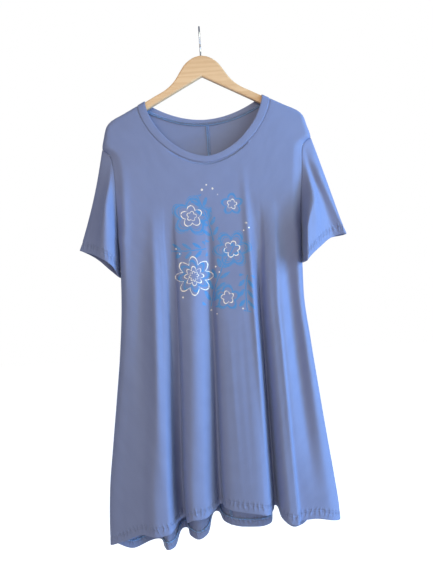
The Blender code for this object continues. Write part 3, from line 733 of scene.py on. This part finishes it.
def chest_print(material, cloth_colour, cloth_roughness):
    """Flowers, leaf sprigs and dots, brushed on in sky-blue paint and laid on in white foil."""
    place = Value(material.node_tree.nodes.new("ShaderNodeTexCoord").outputs["Object"])
    parts = place.node("ShaderNodeSeparateXYZ", {}, {0: place})
    wobble = (place.noise(scale=70.0, detail=2.0) - 0.5) * HAND_WOBBLE
    x = parts + wobble
    drop = Value(parts.socket.node.outputs[2]) * -1.0 + wobble
    paint = None
    foil = None

    def added(mask, extra):
        return extra if mask is None else mask.maths("MAXIMUM", extra)

    def lessened(mask, loss):
        return mask * loss + (1 - loss)

    for centre_x, centre_drop, petals, outlines in FLOWERS:
        from_x = x - centre_x
        from_drop = drop - centre_drop
        away = (from_x * from_x + from_drop * from_drop).maths("SQRT")
        angle = from_drop.maths("ARCTAN2", from_x) * (petals / 2)
        for radius, turn, half_width, in_foil in outlines:
            petal = abs((angle + turn).maths("COSINE"))
            outline = lessened(petal, PETAL_DEPTH) * radius
            fade = [half_width * share for share in LINE_FADE]
            line = 1.0 - abs(away - outline).within(*fade)
            if in_foil:
                foil = added(foil, line)
            else:
                paint = added(paint, line)
    for foot_x, foot_drop, heading, length, bend, pitch, leaf in SPRIGS:
        turn = math.radians(heading)
        from_x = x - foot_x
        from_drop = drop - foot_drop
        along = from_x * math.cos(turn) - from_drop * math.sin(turn)
        across = from_x * math.sin(turn) + from_drop * math.cos(turn) - along * along * bend
        inside = along.within(0.0, SPRIG_END) * (1.0 - along.within(length, length + SPRIG_END))
        stem = 1.0 - abs(across).within(*STEM_FADE)
        from_leaf = (along / pitch + abs(across) * (-LEAF_SLANT / pitch)).maths("FRACT") - 0.5
        reach = abs(across) / leaf - LEAF_MIDDLE
        oval = (from_leaf * from_leaf * LEAF_ACROSS + reach * reach * LEAF_ALONG).maths("SQRT")
        leaves = 1.0 - oval.within(*LEAF_FADE)
        paint = added(paint, stem.maths("MAXIMUM", leaves) * inside)
    for dot_x, dot_drop, radius in DOTS:
        from_x = x - dot_x
        from_drop = drop - dot_drop
        away = (from_x * from_x + from_drop * from_drop).maths("SQRT")
        fade = [radius * share for share in DOT_FADE]
        foil = added(foil, 1.0 - away.within(*fade))
    brushed = place.noise(scale=420.0, detail=3.0).within(0.36, 0.52)
    patchy = place.noise(scale=110.0, detail=2.0).within(0.34, 0.50)
    paint = paint * lessened(brushed, PAINT_BRUSHED) * lessened(patchy, PAINT_PATCHY)
    foil = foil * lessened(brushed, FOIL_BRUSHED) * lessened(patchy, FOIL_PATCHY)
    colour = foil.blend(paint.blend(cloth_colour, SKY_PAINT), WHITE_FOIL)
    covered = paint.maths("MAXIMUM", foil)
    roughness = cloth_roughness * (1.0 - covered) + covered * PRINT_ROUGHNESS
    return colour, roughness, foil * FOIL_METAL, covered


def dress(piece, node, materials):
    """What every cloth panel gets: its cloth, its CAD node hidden, and its body."""
    for material in materials:
        piece.data.materials.append(material)
    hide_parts(node)
    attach(piece, "root")


def thread_material(name, colour):
    """Spun polyester sewing thread."""
    material, shader = new_material(name, colour, roughness=0.55, Sheen_Weight=0.3)
    place = Value(material.node_tree.nodes.new("ShaderNodeTexCoord").outputs["Object"])
    put_in(place.noise(scale=900.0, detail=1.0) * 0.3 + 0.4, shader, "Roughness")
    return material


def hem_trims(name, points, normals):
    """A hem's two rows of stitches, and the thread looped over the raw edge inside it."""
    rows = [points.shape[1] - len(HEM_ROWS) + row for row in NEEDLE_ROWS]
    sewn = stitches(name + "_stitches", [(points[:, r], normals[:, r]) for r in rows], blue_thread)
    raw = points.shape[1] - len(HEM_ROWS) + RAW_EDGE_ROW
    inside = points - normals * HEM_GAP
    looped = overlock(
        name + "_overlock", inside[:, raw], inside[:, raw + LOOP_ROWS], -normals[:, raw], pale_thread,
        JERSEY_THICKNESS / 2 + OVERLOCK_RADIUS,
    )
    return [sewn, looped]


jersey = jersey_material("Jersey")
printed_jersey = jersey_material("Printed jersey", printed=True)
blue_thread = thread_material("Blue thread", (0.150, 0.195, 0.370, 1.0))
pale_thread = thread_material("Pale overlock thread", (0.24, 0.53, 1.0, 1.0))

FRONT_HEM_LEVEL = 1.100
FRONT_DRAPE = 0.020
FRONT = Side(
    -1, FRONT_FOLDS, FRONT_HEM_LEVEL, FRONT_DRAPE, FRONT_CREASES, front_neck_half, FRONT_SEAM_DEPTH
)
front_points = panel_points(FRONT, 0.0, 1.0, (True, True))
front_normals = outward(front_points, -1)
front = cloth_sheet("front_panel", turned_up(front_points, front_normals), front_points.shape[1] + 1)
front_trims = hem_trims("front_hem", front_points, front_normals)
dress(front, "front", (printed_jersey, jersey))

# ---------------------------------------------------------------------------------------------
# Back of the body: two halves of the same jersey, seamed down the middle. The hem hangs lower than
# the front's, so its inside shows under the front's hem.
# ---------------------------------------------------------------------------------------------

BACK_SEAM_DEPTH = 0.0465
BACK_HEM_LEVEL = 1.150
BACK_DRAPE = 0.018
CENTRE_BACK_ROW = 13
BACK_FOLDS = (
    # x at chest, x at hem, out at hem, hem drop
    (-0.2095, -0.2712, 0.000, 1.158),
    (-0.2040, -0.2660, 0.018, 1.166),
    (-0.1850, -0.2250, 0.040, 1.194),
    (-0.1560, -0.1750, 0.076, 1.196),
    (-0.1360, -0.1530, 0.036, 1.197),
    (-0.1270, -0.1440, 0.022, 1.194),
    (-0.1160, -0.1330, 0.034, 1.196),
    (-0.0950, -0.1090, 0.080, 1.174),
    (-0.0770, -0.0900, 0.036, 1.172),
    (-0.0600, -0.0720, 0.024, 1.175),
    (-0.0420, -0.0530, 0.033, 1.169),
    (-0.0200, -0.0290, 0.080, 1.137),
    (-0.0080, -0.0100, 0.044, 1.145),
    (0.0010, 0.0060, 0.033, 1.149),
    (0.0200, 0.0320, 0.028, 1.153),
    (0.0600, 0.0720, 0.028, 1.155),
    (0.0820, 0.0980, 0.038, 1.153),
    (0.0990, 0.1150, 0.080, 1.131),
    (0.1150, 0.1300, 0.038, 1.149),
    (0.1320, 0.1520, 0.027, 1.160),
    (0.1460, 0.1690, 0.034, 1.159),
    (0.1680, 0.2020, 0.056, 1.150),
    (0.1960, 0.2480, 0.020, 1.134),
    (0.2020, 0.2543, 0.000, 1.130),
)
BACK_CREASES = (
    # x and drop at the top, x and drop at the foot, half width, out
    (-0.150, 0.330, -0.165, 0.760, 0.018, -0.005),
    (0.148, 0.340, 0.160, 0.800, 0.017, -0.005),
    (-0.045, 0.300, -0.055, 0.700, 0.018, 0.003),
    (0.060, 0.310, 0.062, 0.720, 0.020, 0.003),
)
CENTRE_ALLOWANCE_LEAN = (-0.0010, 0.0018, 0.0045)
CENTRE_ALLOWANCE_RISE = (0.0008, 0.0010, 0.0016)
ALLOWANCE_START = 2
BESIDE_SEAM = 2


def back_neck_half(drop, half, top, depth):
    return half * math.sqrt(1 - clamp((drop - top) / depth))


def allowance_strip(node, lines, normals):
    """A seam's narrow allowance on the inside, with thread looped over its raw edge."""
    strip = cloth_sheet(node + "_strip", np.stack(lines, axis=1), None)
    lift = JERSEY_THICKNESS / 2 + OVERLOCK_RADIUS
    looped = overlock(node + "_overlock", lines[-1], lines[0], normals, pale_thread, lift)
    strip.data.materials.append(jersey)
    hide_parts(node)
    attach(strip, "root")
    return strip, looped


BACK = Side(1, BACK_FOLDS, BACK_HEM_LEVEL, BACK_DRAPE, BACK_CREASES, back_neck_half, BACK_SEAM_DEPTH)
centre_place = BACK.places[CENTRE_BACK_ROW]
back_points = {}
back_pieces = {}
for node, first, last in (("back_right", 0.0, centre_place), ("back_left", centre_place, 1.0)):
    points = panel_points(BACK, first, last, (True, True))
    normals = outward(points, 1)
    back_points[node] = (points, normals)
    back_pieces[node] = cloth_sheet(node + "_panel", turned_up(points, normals), points.shape[1] + 1)

seam_right, right_normals = back_points["back_right"]
seam_left, left_normals = back_points["back_left"]
hem_top = -(len(HEM_ROWS) - RAW_EDGE_ROW)
seamed = slice(ALLOWANCE_START, hem_top)
middle = ((seam_right[-1] + seam_left[0]) / 2)[seamed]
inward = unit(-(right_normals[-1] + left_normals[0])[seamed])
toward_left = unit(seam_left[BESIDE_SEAM, seamed] - seam_right[-1 - BESIDE_SEAM, seamed])
seam_columns = [
    middle + toward_left * lean + inward * rise
    for lean, rise in zip(CENTRE_ALLOWANCE_LEAN, CENTRE_ALLOWANCE_RISE)
]
centre_allowance, centre_loops = allowance_strip("centre_allowance", seam_columns, inward)
for node, flat, area, trims in (
    # node, cut, area of the cut, sewing beside its own hem's
    ("back_right", (0.58, 1.05), 0.33, []),
    ("back_left", (0.46, 1.05), 0.27, [centre_allowance, centre_loops]),
):
    trims = trims + hem_trims(node + "_hem", *back_points[node])
    dress(back_pieces[node], node, (jersey,))

# ---------------------------------------------------------------------------------------------
# Neckband: a strip of the jersey, folded double lengthwise and sewn round the neckline, 17 mm
# wide. Inside the back neck its overlocked seam allowance stands up against it.
# ---------------------------------------------------------------------------------------------

NECK_EDGE_HALF = 0.133
NECK_EDGE_DROP = NECK_SEAM_DROP - SHOULDER_SLOPE * (NECK_SEAM_HALF - NECK_EDGE_HALF)
FRONT_EDGE_DEPTH = 0.1383
BACK_EDGE_DEPTH = 0.0413
BAND_HALF_THICKNESS = 0.0011
ALLOWANCE_WIDTH = 0.0055
ALLOWANCE_LIFT = 0.0010
ALLOWANCE_ROWS = (0.0, 0.35, 0.7, 1.0)
BAND_SECTION = (
    # share of the width from the seam, share of the half thickness
    (0.01, 0.10), (0.035, 0.62), (0.09, 0.90), (0.22, 1.0), (0.45, 1.05), (0.70, 1.0),
    (0.88, 0.92), (0.96, 0.70), (0.99, 0.35), (1.00, 0.0), (0.99, -0.35), (0.96, -0.70),
    (0.88, -0.92), (0.70, -1.0), (0.45, -1.0), (0.22, -0.95), (0.09, -0.80), (0.03, -0.5),
)


def band_stations(side, edge_depth):
    """Points on the band's seam edge and on its open edge."""
    stations = []
    for place in side.column_places(0.0, 1.0):
        seam_drop = side.top_drop(place)
        seam_x = side.across(place, seam_drop)
        share = (seam_drop - NECK_SEAM_DROP) / side.neck_depth
        edge_drop = NECK_EDGE_DROP + share * edge_depth
        edge_half = side.neck_half(edge_drop, NECK_EDGE_HALF, NECK_EDGE_DROP, edge_depth)
        edge_x = math.copysign(edge_half, seam_x)
        pair = [
            (x, side.sign * drape_depth(x, drop, side.drape), -drop)
            for x, drop in ((seam_x, seam_drop), (edge_x, edge_drop))
        ]
        stations.append(pair)
    return np.array(stations)


front_band = band_stations(FRONT, FRONT_EDGE_DEPTH)
back_band = band_stations(BACK, BACK_EDGE_DEPTH)
loop = np.concatenate([front_band, back_band[::-1][1:-1], front_band[:1]])
seam_line = loop[:, 0]
edge_line = loop[:, 1]
tangents = np.roll(seam_line[:-1], -1, axis=0) - np.roll(seam_line[:-1], 1, axis=0)
tangents = np.concatenate([tangents, tangents[:1]])
lift = unit(np.cross(tangents, edge_line - seam_line))
section = [
    seam_line + (edge_line - seam_line) * across + lift * BAND_HALF_THICKNESS * height
    for across, height in BAND_SECTION
]
band_points = np.stack(section + section[:1], axis=1)
neckband = cloth_sheet("neckband_strip", band_points, None, closed=True, thickness=0)

inner_faces = -lift[len(front_band) : -1][::-1]
neck_seam = back_band[1:-1, 0]
neck_edge = back_band[1:-1, 1]
up_band = unit(neck_edge - neck_seam)
off_band = inner_faces * (BAND_HALF_THICKNESS + ALLOWANCE_LIFT)
neck_rows = [neck_seam + off_band + up_band * ALLOWANCE_WIDTH * share for share in ALLOWANCE_ROWS]
neck_trims = list(allowance_strip("neck_allowance", neck_rows, inner_faces))
dress(neckband, "neckband", (jersey,))

# ---------------------------------------------------------------------------------------------
# Sleeves: one piece of the jersey each, set in at the armhole and seamed under the arm, with a hem
# turned up 20 mm. They hang as flattened tubes past the hanger's ends. The right cuff hangs lower
# at the back than in front.
# ---------------------------------------------------------------------------------------------

SLEEVES = {
    # side: (node, outer x, inner x, y of the inner corner, bow of the outer edge, ridge at the cuff)
    -1: ("right_sleeve", -0.3005, -0.2128, 0.0, -0.005, 0.67),
    1: ("left_sleeve", 0.3050, 0.2012, -0.014, 0.001, 0.70),
}
CUFF_LINES = {
    # (side, face): rows of (share of the width from outer to inner corner, drop)
    (-1, -1): (
        (0.0, 0.489), (0.15, 0.494), (0.35, 0.500), (0.58, 0.510), (0.80, 0.522), (0.92, 0.535),
        (1.0, 0.556),
    ),
    (-1, 1): ((0.0, 0.489), (0.25, 0.502), (0.50, 0.519), (0.75, 0.541), (0.90, 0.553), (1.0, 0.556)),
    (1, -1): ((0.0, 0.487), (0.18, 0.489), (0.37, 0.495), (0.62, 0.513), (0.85, 0.531), (1.0, 0.546)),
    (1, 1): ((0.0, 0.487), (0.30, 0.491), (0.50, 0.506), (0.62, 0.514), (0.80, 0.520), (1.0, 0.546)),
}
SLEEVE_BACK = (
    # place round the sleeve from outer edge to underarm, out at the cuff
    (0.0, 0.0), (0.10, 0.013), (0.40, 0.026), (0.58, 0.019), (0.76, 0.028), (0.92, 0.012), (1.0, 0.0),
)
SLEEVE_PROFILES = {
    # (side, face): rows as above
    (-1, -1): (
        (0.0, 0.0), (0.08, 0.007), (0.25, 0.013), (0.45, 0.024), (0.60, 0.038), (0.68, 0.040),
        (0.80, 0.028), (0.91, 0.011), (1.0, 0.0),
    ),
    (-1, 1): SLEEVE_BACK,
    (1, -1): (
        (0.0, 0.0), (0.05, 0.012), (0.13, 0.019), (0.22, 0.016), (0.35, 0.011), (0.47, 0.017),
        (0.60, 0.027), (0.67, 0.034), (0.71, 0.037), (0.78, 0.0405), (0.90, 0.0455), (0.96, 0.031),
        (1.0, 0.0),
    ),
    (1, 1): SLEEVE_BACK,
}
RIDGE_AT_ARMHOLE = 0.14
RIDGE_BEND = 0.6
ARMHOLE_POINTS = 36
SLEEVE_OFFSET = 0.0004
SLEEVE_SWELL = 0.006
SLEEVE_ROWS = 46
SLEEVE_OPENS = 2.4


def armhole_ring(side):
    """Points down the front of the armhole and up its back, each (point, share, face)."""
    place = 0.0 if side < 0 else 1.0
    ring = []
    for face, body in ((-1, FRONT), (1, BACK)):
        turns = [math.pi * k / ARMHOLE_POINTS for k in range(ARMHOLE_POINTS + 1)]
        shares = [(1 - math.cos(turn)) / 2 for turn in turns]
        if face > 0:
            shares = list(reversed(shares))[1:-1]
        for share in shares:
            point = body.point(place, mix(TIP_DROP, UNDERARM_DROP, share))
            point.x += side * SLEEVE_OFFSET
            if share in (0.0, 1.0):
                point.y = 0.0
            ring.append((point, share, face))
    return ring + ring[:1]


def cuff_drop(side, face, toward_inner):
    shares, drops = zip(*CUFF_LINES[(side, face)])
    return smooth_curve(shares, drops)(toward_inner)


def sleeve_points(side):
    """The sleeve as a tube of columns from armhole to cuff, before its hem is turned up."""
    _, outer_x, inner_x, inner_y, bow, ridge_at_cuff = SLEEVES[side]
    profiles = {face: smooth_curve(*zip(*SLEEVE_PROFILES[(side, face)])) for face in (-1, 1)}
    columns = []
    for start, share, face in armhole_ring(side):
        toward_inner = (1 - math.cos(math.pi * share)) / 2
        end_x = mix(outer_x, inner_x, toward_inner)
        end = Vector((end_x, 0.0, -cuff_drop(side, face, toward_inner)))
        length = (end - start).length
        hem_alongs = [1 - up / length for up in HEM_ROWS]
        alongs = [hem_alongs[0] * k / (SLEEVE_ROWS - 1) for k in range(SLEEVE_ROWS)]
        alongs[1:1] = [step / length for step in NECK_ROWS[1:]]
        column = []
        for along in alongs + hem_alongs[1:]:
            point = start.lerp(end, along)
            ridge = mix(RIDGE_AT_ARMHOLE, ridge_at_cuff, clamp(along) ** RIDGE_BEND)
            if share < ridge:
                place = share * ridge_at_cuff / ridge
            else:
                place = 1 - (1 - share) * (1 - ridge_at_cuff) / (1 - ridge)
            midway = math.sin(math.pi * clamp(along))
            out = face * (profiles[face](place) + SLEEVE_SWELL * midway * math.sin(math.pi * share))
            point.y = mix(start.y, out + inner_y * toward_inner, ease(along * SLEEVE_OPENS))
            point.x += side * bow * midway * (1 - share)
            column.append(point)
        columns.append(column)
    return np.array(columns)


def tube_normals(points):
    """Normals of a closed tube of columns, pointing away from its middle line."""
    ring = np.concatenate([points[-2:-1], points, points[1:2]])
    across = (ring[2:] - ring[:-2]) / 2
    down = np.gradient(points, axis=1)
    normals = unit(np.cross(across, down))
    outward_of = points - points.mean(axis=0, keepdims=True)
    return normals if (normals * outward_of).sum() > 0 else -normals


for side in (-1, 1):
    node = SLEEVES[side][0]
    points = sleeve_points(side)
    points = dipped(points, tube_normals(points), (False, False), top=True)
    normals = tube_normals(points)
    hemmed = turned_up(points, normals)
    sleeve = cloth_sheet(node + "_tube", hemmed, points.shape[1] + 1, closed=True)
    sleeve_trims = hem_trims(node + "_hem", points, normals)
    dress(sleeve, node, (jersey,))

# ---------------------------------------------------------------------------------------------
# Hanger and hook: the hanger is one piece of pale lacquered beech, its grain running from arm to
# arm. The hook is chromed steel wire, bent round and set in a bore in the hanger's middle. Both
# keep the shape of their solids.
# ---------------------------------------------------------------------------------------------

WOOD_DEEP = (0.62, 0.385, 0.205, 1.0)
WOOD_LIGHT = (0.78, 0.530, 0.310, 1.0)
GRAIN_SCALE = (5.0, 60.0, 150.0)
PORE_SCALE = (40.0, 900.0, 900.0)
GRAIN_HEIGHT = 0.0002
PORE_DEPTH = 0.0001
STEEL = (0.50, 0.50, 0.52, 1.0)
WIRE_SCALE = (900.0, 900.0, 60.0)

wood, wood_shader = new_material(
    "Beech", WOOD_LIGHT, roughness=0.36, Coat_Weight=0.25, Coat_Roughness=0.2
)
place = Value(wood.node_tree.nodes.new("ShaderNodeTexCoord").outputs["Object"])
rings = place.scaled(*GRAIN_SCALE).noise(scale=1.0, detail=3.0)
pores = place.scaled(*PORE_SCALE).noise(scale=1.0, detail=2.0).within(0.56, 0.70)
streaks = rings.within(0.25, 0.75) * 0.8 - pores * 0.4 + 0.1
put_in(streaks.blend(WOOD_DEEP, WOOD_LIGHT), wood_shader, "Base Color")
grain = rings * GRAIN_HEIGHT - pores * PORE_DEPTH
grain_bump = grain.node("ShaderNodeBump", {}, {"Strength": 0.5, "Distance": 1.0, "Height": grain})
put_in(grain_bump, wood_shader, "Normal")
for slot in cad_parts["hanger"].material_slots:
    slot.material = wood

steel, steel_shader = new_material("Chromed steel", STEEL, roughness=0.22, Metallic=1.0)
place = Value(steel.node_tree.nodes.new("ShaderNodeTexCoord").outputs["Object"])
drawn = place.scaled(*WIRE_SCALE).noise(scale=1.0, detail=2.0)
put_in(drawn * 0.16 + 0.12, steel_shader, "Roughness")
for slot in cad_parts["hook"].material_slots:
    slot.material = steel

# ---------------------------------------------------------------------------------------------
# Floor, light and camera: a pale floor far below the hem, bluish and neutral window light from
# the right, a warm lamp in front, and a level camera that is rolled by a few degrees.
# ---------------------------------------------------------------------------------------------

FLOOR_DROP = 1.75
FLOOR_SIZE = 14.0
FLOOR_GLOW = 0.80
WHITE = (1.0, 1.0, 1.0, 1.0)
ROOM_LIGHT = (0.215, 0.25, 0.33, 1.0)
bpy.ops.object.select_all(action="DESELECT")
bpy.ops.mesh.primitive_plane_add(size=FLOOR_SIZE, location=(0, 0, -FLOOR_DROP))
floor = bpy.context.object
floor.name = "floor"
pale, pale_shader = new_material("Pale floor", (0.93, 0.93, 0.93, 1.0), roughness=0.9)
pale_shader.inputs["Emission Color"].default_value = WHITE
pale_shader.inputs["Emission Strength"].default_value = FLOOR_GLOW
floor.data.materials.append(pale)
floor.visible_diffuse = False

world = bpy.data.worlds.new("Studio")
bpy.context.scene.world = world
world.use_nodes = True
backdrop = world.node_tree.nodes["Background"]
rays = Value(world.node_tree.nodes.new("ShaderNodeLightPath").outputs["Is Camera Ray"])
seen = rays.within(0.0, 1.0).blend(ROOM_LIGHT, WHITE)
world.node_tree.links.new(seen.socket, backdrop.inputs["Color"])
backdrop.inputs["Strength"].default_value = 1.0
bpy.context.scene.view_settings.view_transform = "Standard"

LIT_POINT = Vector((0.0, 0.0, -0.6))
LIGHTS = (
    # name, place, width, height, watts, colour
    ("side window", (2.25, -0.70, -0.30), 1.0, 2.2, 92.0, (0.33, 0.62, 1.0)),
    ("front window", (1.90, -1.70, 0.10), 1.2, 1.8, 26.0, (0.92, 1.0, 0.82)),
    ("room lamp", (-0.75, -2.40, 0.10), 1.6, 1.4, 34.0, (1.0, 0.78, 0.50)),
)
for name, place, width, height, watts, colour in LIGHTS:
    lamp = bpy.data.lights.new(name, "AREA")
    lamp.shape = "RECTANGLE"
    lamp.size = width
    lamp.size_y = height
    lamp.energy = watts
    lamp.color = colour
    holder = bpy.data.objects.new(name, lamp)
    holder.location = place
    holder.rotation_euler = (LIT_POINT - Vector(place)).to_track_quat("-Z", "Y").to_euler()
    bpy.context.scene.collection.objects.link(holder)

CAMERA_PLACE = (0.0047, -1.05, -0.593)
CAMERA_ROLL = math.radians(3.4)
CAMERA_LENS = 28.73
CAMERA_FILM = 36.0
camera_data = bpy.data.cameras.new("camera")
camera_data.sensor_width = CAMERA_FILM
camera_data.lens = CAMERA_LENS
camera = bpy.data.objects.new("camera", camera_data)
camera.location = CAMERA_PLACE
camera.rotation_euler = (math.pi / 2, CAMERA_ROLL, 0.0)
bpy.context.scene.collection.objects.link(camera)
bpy.context.scene.camera = camera
